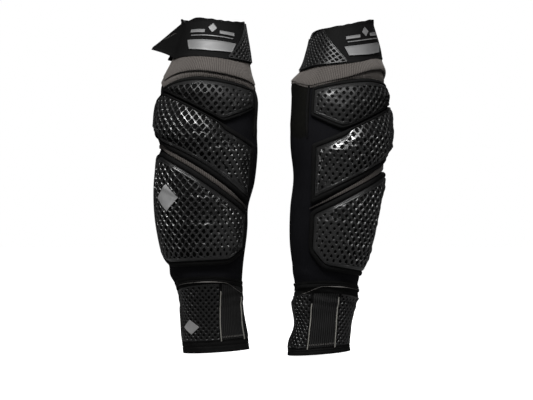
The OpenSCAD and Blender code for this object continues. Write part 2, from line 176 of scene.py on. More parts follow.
class Guard:
    """One guard's own frame, read from the record, and the surface of its sleeve."""

    def __init__(self, side):
        self.side = side
        look = LOOKS[side]
        self.spread, self.bow, self.seed = look["spread"], look["bow"], look["seed"]
        self.panel_a = -20 + look["cuff_turn"]
        self.look = look
        mounts = {m["name"]: m for m in RECORD["mounts"]}
        joints = {j["name"]: j for j in frame["joints"]}
        ankle = mounts[f"{side}_ankle_opening"]
        self.origin = np.array(ankle["pos_m"])
        up = -np.array(ankle["axis"])
        across = np.array(joints[f"{side}_upper_flex"]["axis"])
        self.mirrored = side == "left"
        outer = -across if self.mirrored else across
        self.axes = np.array([outer, np.cross(up, across), up])
        self.joint = {k: np.array(joints[f"{side}_{k}_flex"]["pos_m"]) for k in FLEX_BODIES}
        self.groove_z = self.local(self.joint["upper"])[2]
        self.strip_z = self.local(self.joint["lower"])[2]

    def local(self, point):
        return self.axes @ (np.asarray(point) - self.origin) / MM

    def place(self, points):
        return self.origin + (np.asarray(points) * MM) @ self.axes

    def direction(self, vector):
        return np.asarray(vector) @ self.axes

    def outward(self, z):
        return self.spread * KNEE_W / 2 * lookup(np.asarray(z) / GUARD_H, WIDTH_SHAPE)

    def fore_aft(self, z):
        return KNEE_D / 2 * lookup(np.asarray(z) / GUARD_H, DEPTH_SHAPE)

    def surface(self, a, z, off):
        """Points in the guard's frame at angle a, height z and offset off, all arrays."""
        a, z, off = np.broadcast_arrays(*(np.asarray(x, float) for x in (a, z, off)))
        angle, share = np.radians(a), np.clip(z / GUARD_H, 0, None)
        x = self.bow * np.sin(np.pi * share**0.85)
        y = -KNEE_FORWARD * np.sin(np.pi * share**1.3)
        off = off + self.side_shape(a, z)
        x = x + (self.outward(z) + off) * np.sin(angle)
        y = y - (self.fore_aft(z) + off) * np.cos(angle)
        return np.stack([x, y, z], -1)

    def side_shape(self, a, z):
        """The leg is slimmer where the pads wrap its outer side, most of all at the lower flex line."""
        side = smoothstep(45, 85, a) * (1 - smoothstep(105, 150, a))
        padded = smoothstep(120, 142, z) * (1 - smoothstep(385, 410, z))
        pinched = 6.0 * padded + 4.5 * hump(z - self.strip(a), 0, 15)
        inner = smoothstep(-35, -80, a) * (1 - smoothstep(-110, -150, a))
        slimmer = self.look["slimmer"] * smoothstep(375, 420, z)
        outer_more, inner_more = (lookup(z, self.look[key]) for key in ("outer", "inner"))
        return side * (outer_more - pinched) + inner * (inner_more - slimmer)

    def mm_per_degree(self, z):
        return math.radians(1) * (self.outward(z) + self.fore_aft(z)) / 2

    # Lines on the sleeve, as heights at an angle
    def flex_line(self, a, line, middle, rise):
        lift, steepness = self.look[line]
        reach = (self.outward(middle) + FOAM_TOP) * steepness
        return middle + lift + rise * reach * to_side(a)

    def groove(self, a):
        return self.flex_line(a, "groove", self.groove_z, GROOVE_RISE)

    def strip(self, a):
        return self.flex_line(a, "strip", self.strip_z, STRIP_RISE)

    def dipped(self, a, line, dips):
        middle, rise = self.look[line]
        return middle + rise * to_side(a) - sum(
            depth * hump(a, centre, half) for centre, half, depth in self.look[dips]
        )

    def strip_half(self, a):
        return STRIP_W / 2 * (1 + self.look["strip_wider"] * smoothstep(0, 90, a))

    def strap_low(self, a):
        return self.dipped(a, "strap_low", "low_dips")

    def strap_high(self, a):
        return self.dipped(a, "strap_top", "top_dips")

    def hem_low(self, a):
        height, rise, _ = self.look["hem"]
        return height + rise * to_side(a)

    def hem_high(self, a):
        return self.hem_low(a) + self.look["hem"][2]

    def upper_pad_top(self, a):
        outer = self.look["pad_fall"] * (np.clip(a - 25, 0, None) / 45) ** 2
        inner = 17 * np.minimum(2.2, np.clip(25 - a, 0, None) / 68) ** 1.5
        return self.look["pad_top"] - outer - inner

    def pad_arc(self, a):
        return self.upper_pad_top(np.clip(a, -75, 80))

    def upper_pad_bottom(self, a):
        point = self.look["upper_pad_point"]
        below = self.groove(point) + 0.46 * (point - a)
        return np.where(a > point, self.groove(a), below) + GROOVE_HALF

    def behind(self, a, z):
        return np.clip(20 - self.fore_aft(z) * np.cos(np.radians(a)), 0, None)

    def groove_wedge(self, a):
        """How far the cloth that bends reaches up or down from the groove, behind the pads."""
        return 0.36 * self.behind(a, self.groove_z)

    def strip_wedge(self, a):
        return 0.44 * self.behind(a, self.strip_z)

    def rib_low(self, a):
        wedge = self.groove(a) + 3 + self.groove_wedge(a)
        arc = self.pad_arc(a) + LAYER + 16 * smoothstep(-50, -85, a)
        return np.maximum(arc, wedge)

    def cuff_top(self, a):
        height, arch, middle = self.look["cuff_top"]
        return height + arch * ((1 + np.cos(np.radians(a - middle))) / 2) ** 1.3

    # Slow waves that every layer of a region shares, so that layers stay apart
    def sleeve_wave(self, a, z):
        s = a * self.mm_per_degree(SLEEVE_Z)
        clear = 1 - smoothstep(-64, -56, a) * (1 - smoothstep(84, 92, a)) * smoothstep(118, 128, z)
        behind_knee = hump(np.abs(a), 180, 75) * hump(z, 305, 75)
        folds = np.sin(2 * np.pi * (z + 5 * np.sin(np.radians(a * 2))) / 23)
        ankle = hump(z, 118, 14) * (0.5 + 0.5 * np.sin(np.radians(a * 3 + self.seed * 40)))
        drape = 1.1 * ripples(s, z, 60, self.seed + 20, stretch=3.0)
        return clear * (drape + 1.4 * behind_knee * folds + 1.6 * ankle)

    def cuff_wave(self, a, z):
        s = a * self.mm_per_degree(CUFF_Z)
        slump = hump(z, 86, 26) * np.sin(2 * np.pi * (z + 0.12 * s) / 15)
        share = 1.5 if self.side == "right" else 0.7
        return 0.8 * ripples(s, z, 42, self.seed + 30) + 0.6 * share * slump

    def strap_wave(self, a, z):
        s = a * self.mm_per_degree(STRAP_Z)
        return 0.5 * ripples(s, z, 55, self.seed + 40, stretch=2.0)


# ---- Meshes ----


def add_to_scene(name, data):
    obj = bpy.data.objects.new(name, data)
    bpy.context.scene.collection.objects.link(obj)
    return obj


def new_object(guard, name, points, faces, uvs, corner_uv, material, sharp=38, holes=None):
    """A mesh object of the guard; holes marks the faces that are dark, inside a lattice's holes."""
    name = f"{guard.side}_{name}"
    mesh = bpy.data.meshes.new(name)
    mesh.from_pydata(guard.place(points).tolist(), [], faces)
    uv_layer = mesh.uv_layers.new(name=UV_MAP)
    uv_layer.data.foreach_set("uv", np.asarray(uvs, np.float32)[corner_uv].ravel())
    mesh.materials.append(MATERIALS[material])
    if holes is not None:
        mesh.materials.append(MATERIALS["backing"])
        mesh.polygons.foreach_set("material_index", holes.astype(np.int32))
    mesh.shade_smooth()
    mesh.set_sharp_from_angle(angle=math.radians(sharp))
    return add_to_scene(name, mesh)


def even_grid(u_range, v_range, cols, rows):
    """Evenly spaced values of u and v over a grid of (cols + 1, rows + 1) points."""
    u, v = np.linspace(*u_range, cols + 1), np.linspace(*v_range, rows + 1)
    return np.meshgrid(u, v, indexing="ij")


def grid_quads(cols, rows, wrap):
    """Corner numbers of a grid's quads: into its points, which wrap round, and into its full grid."""
    i, j = np.divmod(np.arange(cols * rows), rows)
    corners = [(i, j), (i + 1, j), (i + 1, j + 1), (i, j + 1)]
    point_cols = cols if wrap else cols + 1
    point = np.stack([(ci % point_cols) * (rows + 1) + cj for ci, cj in corners], -1)
    full = np.stack([ci * (rows + 1) + cj for ci, cj in corners], -1)
    return point, full


def slab(name, guard, outer, inner, uv, material, wrap=False, sharp=38, holes=None):
    """A closed solid between two grids of points, outer and inner, of (cols + 1, rows + 1, 3).

    holes marks each point of the outer grid that is inside a lattice's hole.
    """
    cols, rows = outer.shape[0] - 1, outer.shape[1] - 1
    used = cols if wrap else cols + 1
    quads, full = grid_quads(cols, rows, wrap)
    count = used * (rows + 1)
    points = np.concatenate([outer[:used].reshape(-1, 3), inner[:used].reshape(-1, 3)])
    faces, corner_uv = [quads, quads[:, ::-1] + count], [full, full[:, ::-1]]

    def rim(line_points, line_full):
        a, b = line_points[:-1], line_points[1:]
        fa, fb = line_full[:-1], line_full[1:]
        faces.append(np.stack([b, a, a + count, b + count], -1))
        corner_uv.append(np.stack([fb, fa, fa, fb], -1))

    along = np.arange(cols + 1)
    rim((along % used) * (rows + 1), along * (rows + 1))
    rim(((along % used) * (rows + 1) + rows)[::-1], (along * (rows + 1) + rows)[::-1])
    if not wrap:
        up = np.arange(rows + 1)
        rim(up[::-1], up[::-1])
        rim(up + cols * (rows + 1), up + cols * (rows + 1))
    faces, corner_uv = np.concatenate(faces), np.concatenate(corner_uv)
    if holes is not None:
        marked = np.zeros(len(faces), bool)
        marked[: len(quads)] = holes.reshape(-1)[full].all(-1)
        holes = marked
    if guard.mirrored:
        faces, corner_uv = faces[:, ::-1], corner_uv[:, ::-1]
    uvs, corners = uv.reshape(-1, 2), corner_uv.ravel()
    obj = new_object(guard, name, points, faces.tolist(), uvs, corners, material, sharp, holes)
    round_leg = np.linalg.norm(np.diff(outer, axis=0), axis=-1).sum(0).mean()
    up_leg = np.linalg.norm(np.diff(outer, axis=1), axis=-1).sum(1).mean()
    obj["cut_m"] = (round_leg * MM, up_leg * MM)
    return obj


def layer(name, guard, a, z, near, far, s, material, sharp=38, holes=None):
    """A slab over a grid of angles and heights, from offset near to far; s is the grid's girth in mm."""
    outer, inner = guard.surface(a, z, far), guard.surface(a, z, near)
    return slab(name, guard, outer, inner, np.stack([s, z], -1), material, sharp=sharp, holes=holes)


def sheet_grid(a_range, low, high, cols, rows):
    """Angles and heights of a grid between two lines round the leg."""
    a, t = even_grid(a_range, (0, 1), cols, rows)
    return a, low(a) + (high(a) - low(a)) * t


def cloth(name, guard, a_range, low, high, near, far, material, cols, rows, wave):
    """Cloth on the leg between two lines, from offset near to far, which is a number or takes (a, z)."""
    a, z = sheet_grid(a_range, low, high, cols, rows)
    waves = wave(a, z)
    outer = guard.surface(a, z, (far(a, z) if callable(far) else far) + waves)
    inner = guard.surface(a, z, near + waves)
    uv = np.stack([a * guard.mm_per_degree(z.mean()), z], -1)
    return slab(name, guard, outer, inner, uv, material, wrap=a_range == ALL_ROUND)


def open_mesh(name, guard, points, faces, uvs, material, sharp):
    """An object whose faces, lists of point numbers, also number its uvs."""
    if guard.mirrored:
        faces = [face[::-1] for face in faces]
    corners = np.array([v for face in faces for v in face])
    return new_object(guard, name, points, faces, uvs, corners, material, sharp)


def closed_section(name, guard, rings, uv, material, sharp):
    """A tube whose rings, of (cols, around, 3), each run round its section; its ends are capped."""
    cols, around = rings.shape[:2]
    i, k = np.divmod(np.arange((cols - 1) * around), around)
    k2 = (k + 1) % around
    corners = [i * around + k, (i + 1) * around + k, (i + 1) * around + k2, i * around + k2]
    caps = [list(range(around)), list(range((cols - 1) * around, cols * around))[::-1]]
    faces = np.stack(corners, -1).tolist() + caps
    return open_mesh(name, guard, rings.reshape(-1, 3), faces, uv.reshape(-1, 2), material, sharp)


def cords(name, guard, lines, radius, material, spot=None, around=8):
    """Round cords or threads in one mesh, along lines of (angle, height, offset) or of what spot takes."""
    spot = spot or guard.surface
    turn = np.linspace(0, 2 * np.pi, around, endpoint=False)
    points, faces, uvs = [], [], []
    for line in lines:
        middle = spot(*line.T)
        along = np.gradient(middle, axis=0)
        along /= np.linalg.norm(along, axis=1)[:, None]
        up = spot(line[:, 0], line[:, 1], line[:, 2] + 1) - middle
        up -= (up * along).sum(1)[:, None] * along
        up /= np.linalg.norm(up, axis=1)[:, None]
        across = np.cross(along, up)
        reach = np.broadcast_to(radius, len(line))[:, None, None]
        ring = middle[:, None] + reach * (
            np.cos(turn)[:, None] * across[:, None] + np.sin(turn)[:, None] * up[:, None]
        )
        base = sum(len(part) for part in points)
        points.append(ring.reshape(-1, 3))
        last = (len(line) - 1) * around
        i, k = np.divmod(np.arange(last), around)
        i, j = i * around, (k + 1) % around
        quads = base + np.stack([i + k, i + j, i + around + j, i + around + k], -1)
        ends = base + np.arange(around)[::-1], base + last + np.arange(around)
        faces += quads.tolist() + [end.tolist() for end in ends]
        run = np.concatenate([[0], np.cumsum(np.linalg.norm(np.diff(middle, axis=0), axis=1))])
        uvs.append(np.stack(np.broadcast_arrays(turn[None, :], run[:, None]), -1).reshape(-1, 2))
    return open_mesh(name, guard, np.concatenate(points), faces, np.concatenate(uvs), material, 60)


def patch(guard, name, middle, half, face):
    """A thin rhombus stuck on the guard; face gives its offset at (girth, height) in millimetres."""
    k = guard.mm_per_degree(middle[1])
    u, v = even_grid((-1, 1), (-1, 1), 40, 40)
    s = middle[0] * k + half[0] * (u + v) / 2
    z = middle[1] + half[1] * (v - u) / 2
    off = face(s, z)
    piece = layer(name, guard, s / k, z, off - 0.3, off + 0.4, s, "patch")
    ride(piece, guard, "shin", "badge")


# ---- Materials ----


class Shader:
    """A material's node tree, with short calls for the nodes that the patterns use."""

    def __init__(self, name, roughness, **sockets):
        self.material = bpy.data.materials.new(name)
        self.material.use_nodes = True
        self.tree = self.material.node_tree
        self.bsdf = self.tree.nodes["Principled BSDF"]
        self.bsdf.inputs["Roughness"].default_value = roughness
        for socket, value in sockets.items():
            self.bsdf.inputs[socket.replace("_", " ")].default_value = value
        self.uv = self.tree.nodes.new("ShaderNodeUVMap")
        self.uv.uv_map = UV_MAP
        split = self.tree.nodes.new("ShaderNodeSeparateXYZ")
        self.link(self.uv.outputs["UV"], split.inputs[0])
        self.u, self.v = split.outputs["X"], split.outputs["Y"]

    def link(self, source, target):
        self.tree.links.new(source, target)

    def math(self, operation, *values):
        node = self.tree.nodes.new("ShaderNodeMath")
        node.operation = operation
        for k, value in enumerate(values):
            if isinstance(value, (int, float)):
                node.inputs[k].default_value = value
            else:
                self.link(value, node.inputs[k])
        return node.outputs[0]

    def wave(self, value, pitch, phase=0.0):
        """A wave from 0 to 1 along value, pitch mm long."""
        turns = self.math("MULTIPLY_ADD", value, 2 * math.pi / pitch, phase)
        return self.math("MULTIPLY_ADD", self.math("SINE", turns), 0.5, 0.5)

    def noise(self, size, detail=2.0, stretch=(1, 1)):
        """Noise from 0 to 1 whose patches are about size mm across."""
        scale = self.tree.nodes.new("ShaderNodeMapping")
        scale.inputs["Scale"].default_value = (stretch[0], stretch[1], 1)
        self.link(self.uv.outputs["UV"], scale.inputs["Vector"])
        node = self.tree.nodes.new("ShaderNodeTexNoise")
        node.inputs["Scale"].default_value = 1 / size
        node.inputs["Detail"].default_value = detail
        self.link(scale.outputs[0], node.inputs["Vector"])
        return node.outputs["Fac"]

    def colours(self, factor, *stops):
        """Base colour along a ramp of (position, colour) stops."""
        ramp = self.tree.nodes.new("ShaderNodeValToRGB")
        points = ramp.color_ramp.elements
        while len(points) < len(stops):
            points.new(0.5)
        for point, (position, colour) in zip(points, stops):
            point.position = position
            point.color = (*colour, 1)
        self.link(factor, ramp.inputs[0])
        self.link(ramp.outputs[0], self.bsdf.inputs["Base Color"])

    def rough_between(self, factor, low, high):
        node = self.tree.nodes.new("ShaderNodeMapRange")
        node.inputs["To Min"].default_value = low
        node.inputs["To Max"].default_value = high
        self.link(factor, node.inputs["Value"])
        self.link(node.outputs[0], self.bsdf.inputs["Roughness"])

    def bump(self, height, depth_mm, strength=1.0):
        node = self.tree.nodes.new("ShaderNodeBump")
        node.inputs["Distance"].default_value = depth_mm * MM
        node.inputs["Strength"].default_value = strength
        self.link(height, node.inputs["Height"])
        self.link(node.outputs[0], self.bsdf.inputs["Normal"])


def grey(level, blue=1.0):
    return (level, level, level * blue)


def knit_material(name, dark, light, wale=1.1, course=0.8, depth=0.12, sheen=0.0, painted_groove_shade=0.3):
    """Plain knit: wales up the cloth, crossed by finer courses. Its colour is painted shade, darker in the
    grooves of its bump and paler on its ridges, mixed with random patches of tone.
    """
    shader = Shader(name, 0.85, Sheen_Weight=sheen, Sheen_Roughness=0.5, Specular_IOR_Level=0.06)
    wales = shader.wave(shader.u, wale, math.pi / 2)
    courses = shader.wave(shader.v, course)
    height = shader.math("MULTIPLY_ADD", courses, 0.4, wales)
    patches = shader.noise(30, 3)
    # painted shade: the bump's height darkens the grooves and lightens the ridges, mixed with random patches
    # of tone
    knit_shade_and_tone = shader.math("MULTIPLY_ADD", height, painted_groove_shade, shader.math("MULTIPLY", patches, 0.9 - painted_groove_shade))
    shader.colours(knit_shade_and_tone, (0.15, dark), (0.85, light))
    shader.bump(height, depth)
    return shader.material


def twill_material(name, dark, light, pitch=1.4, depth=0.15):
    """Fine diagonal weave. Its colour is half painted shade, darker where the weave's bump is low, and half
    random tone.
    """
    shader = Shader(name, 0.75, Specular_IOR_Level=0.08)
    diagonal = shader.math("MULTIPLY_ADD", shader.v, 0.7, shader.u)
    threads = shader.wave(diagonal, pitch)
    picks = shader.wave(shader.v, pitch * 0.6)
    height = shader.math("MULTIPLY", threads, picks)
    # painted shade: the weave's bump height darkens its hollows, mixed half and half with random tone
    weave_shade_and_tone = shader.math("MULTIPLY_ADD", height, 0.5, shader.math("MULTIPLY", shader.noise(18, 4), 0.5))
    shader.colours(weave_shade_and_tone, (0.1, dark), (0.9, light))
    shader.bump(height, depth)
    return shader.material


def mesh_material(name, dark, light, pitch=2.6, depth=0.35):
    """Open mesh: rows of small holes, dark inside."""
    shader = Shader(name, 0.8, Specular_IOR_Level=0.06)
    across = shader.wave(shader.math("ADD", shader.u, shader.v), pitch)
    back = shader.wave(shader.math("SUBTRACT", shader.u, shader.v), pitch)
    holes = shader.math("MINIMUM", across, back)
    threads = shader.math("MULTIPLY_ADD", shader.noise(20, 2), 0.3, holes)
    shader.colours(threads, (0.25, dark), (0.75, light))
    shader.bump(holes, depth)
    return shader.material


def pile_material(name, dark, light, size, depth, roughness=0.9):
    """Brushed pile or fine hooks: dense specks."""
    shader = Shader(name, roughness, Sheen_Weight=0.05, Specular_IOR_Level=0.15)
    specks = shader.noise(size, 5)
    shader.colours(specks, (0.35, dark), (0.7, light))
    shader.bump(specks, depth)
    return shader.material


def rubber_material(name, dark, light, roughness, crinkle, depth, coat=0.0, specular=0.5):
    """Moulded rubber or film with a fine crinkle, its tone and roughness varying in random patches."""
    shader = Shader(name, roughness, Coat_Weight=coat, Coat_Roughness=0.12, Specular_IOR_Level=specular)
    coarse = shader.noise(crinkle, 3)
    fine = shader.noise(0.8, 2)
    height = shader.math("MULTIPLY_ADD", fine, 0.06, coarse)
    shader.colours(shader.noise(26, 4), (0.3, dark), (0.8, light))
    shader.rough_between(shader.noise(9, 3), roughness * 0.75, roughness * 1.35)
    shader.bump(height, depth)
    return shader.material


def make_materials():
    return {
        "sleeve": knit_material("sleeve_knit", grey(0.0025, 1.25), grey(0.006, 1.25)),
        # strong painted shade in the rib grooves: the bump's height sets 0.6 of the colour
        "rib_knit": knit_material(
            "rib_knit", (0.025, 0.0225, 0.0205), (0.096, 0.086, 0.079), wale=RIB_PITCH, course=0.9,
            depth=0.15, sheen=0.1, painted_groove_shade=0.6,
        ),
        "webbing": twill_material("strap_webbing", grey(0.002), grey(0.006)),
        # the strap's badge film is the shin and cuff patch film painted darker: painted shade offsetting the
        # stronger key light on the strap, partly also the badge's dark print
        "badge": rubber_material("badge_film_painted_shade", grey(0.11), grey(0.16), 0.45, 5, 0.06),
        "patch": rubber_material("patch_film", grey(0.2), grey(0.3), 0.45, 5, 0.06),
        "grip_rubber": rubber_material("grip_rubber", grey(0.005), grey(0.011), 0.4, 3, 0.12),
        "loop": pile_material("loop_pile", grey(0.006), grey(0.02), 0.9, 0.5),
        "hook": pile_material("hook_tape", grey(0.004), grey(0.016), 0.7, 0.4, 0.6),
        "backing": knit_material("backing", grey(0.0015), grey(0.003), depth=0.05),
        "cuff_grip": rubber_material("cuff_grip", grey(0.002), grey(0.0045), 0.45, 3, 0.1, 0.3, 0.2),
        "silicone": rubber_material("silicone_band", grey(0.03), grey(0.05), 0.35, 4, 0.05),
        "foam": rubber_material("pad_foam", grey(0.03), grey(0.05), 0.9, 1.2, 0.15),
        "pad_cover": rubber_material("pad_skin", grey(0.003), grey(0.007), 0.45, 5, 0.08, 0.75, 0.2),
        # the upper pads' copy of the pad skin, rougher with less coat, and with its base colour painted
        # paler: painted sheen from the top light
        "pad_matt_painted_sheen": rubber_material("pad_skin_matt_painted_sheen", grey(0.006), grey(0.012), 0.5, 5, 0.08, 0.12, 0.2),
        "mesh": mesh_material("knee_mesh", (0.002, 0.002, 0.0016), (0.007, 0.007, 0.006)),
        "cuff_fabric": knit_material("cuff_knit", grey(0.002), grey(0.005), wale=1.0, depth=0.1),
        "binding": twill_material("edge_binding", grey(0.002), grey(0.006), pitch=1.1),
        # strong painted shade in the rib grooves: the bump's height sets 0.6 of the colour
        "cuff_rib": knit_material("cuff_rib", grey(0.002), grey(0.018), wale=2.8, depth=0.12, painted_groove_shade=0.6),
        "piping": rubber_material("piping", (0.17, 0.165, 0.15), (0.27, 0.26, 0.235), 0.35, 4, 0.05),
        "pale_thread": rubber_material("pale_thread", (0.09, 0.085, 0.08), (0.16, 0.15, 0.14), 0.6, 0.6, 0.1),
    }


MATERIALS = make_materials()


# ---- How pieces follow the bodies ----


def stand_in(guard, nodes):
    """The piece is shown instead of the nodes, which are hidden."""
    if nodes:
        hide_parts(*[f"{guard.side}_{n}" for n in nodes])


def ride(piece, guard, body, slot, *nodes):
    stand_in(guard, nodes)
    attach(piece, f"{guard.side}_{body}")


def flex(piece, guard, which, slot, *nodes):
    """The piece is shown instead of the nodes and its placement is baked into its mesh; the upper or lower
    flex line's step and bodies are worked out but not used.
    """
    lines = {"upper": (GROOVE_RISE, UPPER_FLEX_REACH), "lower": (STRIP_RISE, LOWER_FLEX_REACH)}
    rise, reach = lines[which]
    step = guard.direction(np.array([-rise, 0, 1]) / math.hypot(rise, 1)) * reach * MM
    bodies, joint = [f"{guard.side}_{body}" for body in FLEX_BODIES[which]], guard.joint[which]
    stand_in(guard, nodes)
    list(bodies)
    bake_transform(piece)


def as_sheet(piece, guard, held, *under):
    """Reads the piece's cut, as wide and as long as its face is round the leg and up it; nothing is done with
    it.
    """
    tuple(piece["cut_m"])


# ---- Pads ----


def closed_line(points, softness, count):
    """A closed line through the points, its corners rounded over about `softness` mm, in even steps."""
    points = np.asarray(points, float)
    loop = np.vstack([points, points[:1]])
    lengths = np.hypot(*np.diff(loop, axis=0).T)
    mark = np.concatenate([[0], np.cumsum(lengths)])
    fine = 2400
    at = np.linspace(0, mark[-1], fine, endpoint=False)
    dense = np.stack([np.interp(at, mark, loop[:, k]) for k in range(2)], -1)
    step = mark[-1] / fine
    reach = np.arange(fine)
    reach = np.minimum(reach, fine - reach) * step
    kernel = np.exp(-0.5 * (reach / softness) ** 2)
    kernel /= kernel.sum()
    dense = np.stack([
        np.real(np.fft.ifft(np.fft.fft(dense[:, k]) * np.fft.fft(kernel))) for k in range(2)
    ], -1)
    return dense[:: fine // count]


BORDER_W = 7.5
NARROW_W = 2.5
LATTICE_DEPTH = 13.4
HOLE_DEPTH = 2.0


class PadShape:
    """A pad's outline on the leg, with its depth inwards, over a grid that follows the outline.

    Depth is the distance to the outline, but runs faster where the border is narrow.
    """

    def __init__(self, guard, line, softness, folds, border_w, count=400):
        self.guard = guard
        self.folds = folds
        a, z = np.asarray(line, float).T
        self.k = guard.mm_per_degree(z.mean())
        self.outline = closed_line(np.stack([a * self.k, z], -1), softness, count)
        narrow = self.narrow(self.outline[:, 0] / self.k, self.outline[:, 1], 4, 9)
        self.border_w = border_w + (NARROW_W - border_w) * narrow
        self.centre = self.outline.mean(0)
        self.rays = self.outline - self.centre
        self.count = count
        self.shares = 1 - np.linspace(0, 1, 61) ** 1.6
        spots = self.centre + self.rays[:, None] * self.shares[:, None]
        depth = self.distance(spots.reshape(-1, 2)).reshape(count, -1)
        self.depths = np.maximum.accumulate(depth, axis=1)

    def narrow(self, a, z, near, far):
        """1 beside the upper groove, where two pads meet, and 0 elsewhere."""
        beside = 1 - smoothstep(near, far, np.abs(z - self.guard.groove(a)))
        return smoothstep(-14, 0, a) * beside

    def distance(self, spots):
        """Depth of each spot inside the outline."""
        a, b = self.outline, np.roll(self.outline, -1, 0)
        edge = b - a
        square, w = (edge**2).sum(-1), self.border_w
        nearest = np.full(len(spots), np.inf)
        for start in range(0, len(spots), 4000):
            part = spots[start : start + 4000, None]
            t = np.clip(((part - a) * edge).sum(-1) / square, 0, 1)
            gap = part - (a + edge * t[..., None])
            away = np.sqrt((gap**2).sum(-1))
            depth = np.where(away < w, away * BORDER_W / w, away + BORDER_W - w)
            nearest[start : start + 4000] = depth.min(1)
        return nearest

    def share_at(self, depth):
        """For each ray, the share of its length at which the outline is `depth` away."""
        return np.array([np.interp(depth, d, self.shares) for d in self.depths])

    def inset_line(self, depth):
        share = self.share_at(depth)
        return self.centre + self.rays * share[:, None]

    def grid(self, start_depth, border_depths, n):
        """Spots (s, z) and depths of an n by n grid, whose outer squares follow the outline."""
        u, v = even_grid((-1, 1), (-1, 1), n, n)
        r = np.maximum(np.abs(u), np.abs(v))
        with np.errstate(invalid="ignore", divide="ignore"):
            uu, vv = np.nan_to_num(u / r), np.nan_to_num(v / r)
        side = np.select([v == -r, u == r, v == r], [0.0, 0.25, 0.5], 0.75)
        run = np.select([v == -r, u == r, v == r], [uu, vv, -uu], -vv)
        t = (side + (run + 1) / 8) % 1
        ring = np.rint((1 - r) * n / 2).astype(int)
        border = np.array([self.share_at(start_depth + d) for d in border_depths])
        last = len(border_depths) - 1
        table = np.empty((n // 2 + 1, self.count))
        for k in range(n // 2 + 1):
            inner = border[last] * (1 - (k - last) / (n / 2 - last))
            table[k] = border[k] if k <= last else inner
        at = t * self.count
        i0 = np.floor(at).astype(int) % self.count
        i1, f = (i0 + 1) % self.count, at - np.floor(at)
        share = table[ring, i0] * (1 - f) + table[ring, i1] * f
        ray = self.rays[i0] * (1 - f)[..., None] + self.rays[i1] * f[..., None]
        spots = self.centre + ray * share[..., None]
        depth = self.distance(spots.reshape(-1, 2)).reshape(u.shape)
        return spots, depth


def lattice(s, z, hole, pitch=(9.2, 13.4)):
    """1 inside the lattice's diamond holes, 0 on its bars; hole is the holes' share of the pitch."""
    p, q = s / pitch[0] + z / pitch[1], s / pitch[0] - z / pitch[1]
    from_bar = 1 - np.abs(2 * (p % 1) - 1), 1 - np.abs(2 * (q % 1) - 1)
    edge = (np.minimum(*from_bar) - (1 - hole)) / 0.16
    corner = (from_bar[0] * from_bar[1]) ** 0.5 - (1 - hole)
    return smoothstep(0, 1, 0.55 * edge + 0.45 * corner / 0.16)


RIDGE_DEPTHS = (9.4, 11.4)


def pad_face(shape, spots, depth, crest):
    """Offset of a pad's moulded face, and how far each spot is inside a hole of its lattice."""
    s, z = spots[..., 0], spots[..., 1]
    a = s / shape.k
    edge_top = 4.6
    crown = edge_top + (PAD_TOP - 0.8 - edge_top) * (1 - np.exp(-np.clip(depth - 7, 0, None) / 11))
    crown = crown + crest(a, z) * smoothstep(8, 26, depth)
    seed, fold_half = shape.guard.seed, 6.5
    creases = 0.45 * ripples(s, z, 30, seed) + 0.3 * ripples(s, z, 14, seed + 1)
    for height, rise, amount in shape.folds:
        away = (z - height - rise * s) / fold_half + 0.5 * ripples(s, z, 40, seed + 2)
        creases = creases + amount * hump(away, 0, 1) * (0.6 + 0.4 * ripples(s, 0 * z, 45, seed + 3))
    crown = crown + creases * smoothstep(12, 22, depth)
    tucked = 2.4 * smoothstep(BORDER_W - 2, BORDER_W + 1, depth) - 2.4
    ridges = sum(0.8 * hump(depth, d, 0.8) for d in RIDGE_DEPTHS)
    ridges = ridges * (1 - shape.narrow(a, z, 8, 14))
    start = LATTICE_DEPTH - 4.4 * shape.narrow(a, z, 8, 14)
    hole = lattice(s, z, 0.46 + 0.34 * smoothstep(-30, 45, a)) * smoothstep(start - 0.8, start, depth)
    return crown + tucked + ridges - HOLE_DEPTH * hole, hole


def no_crest(a, z):
    return np.zeros_like(z)


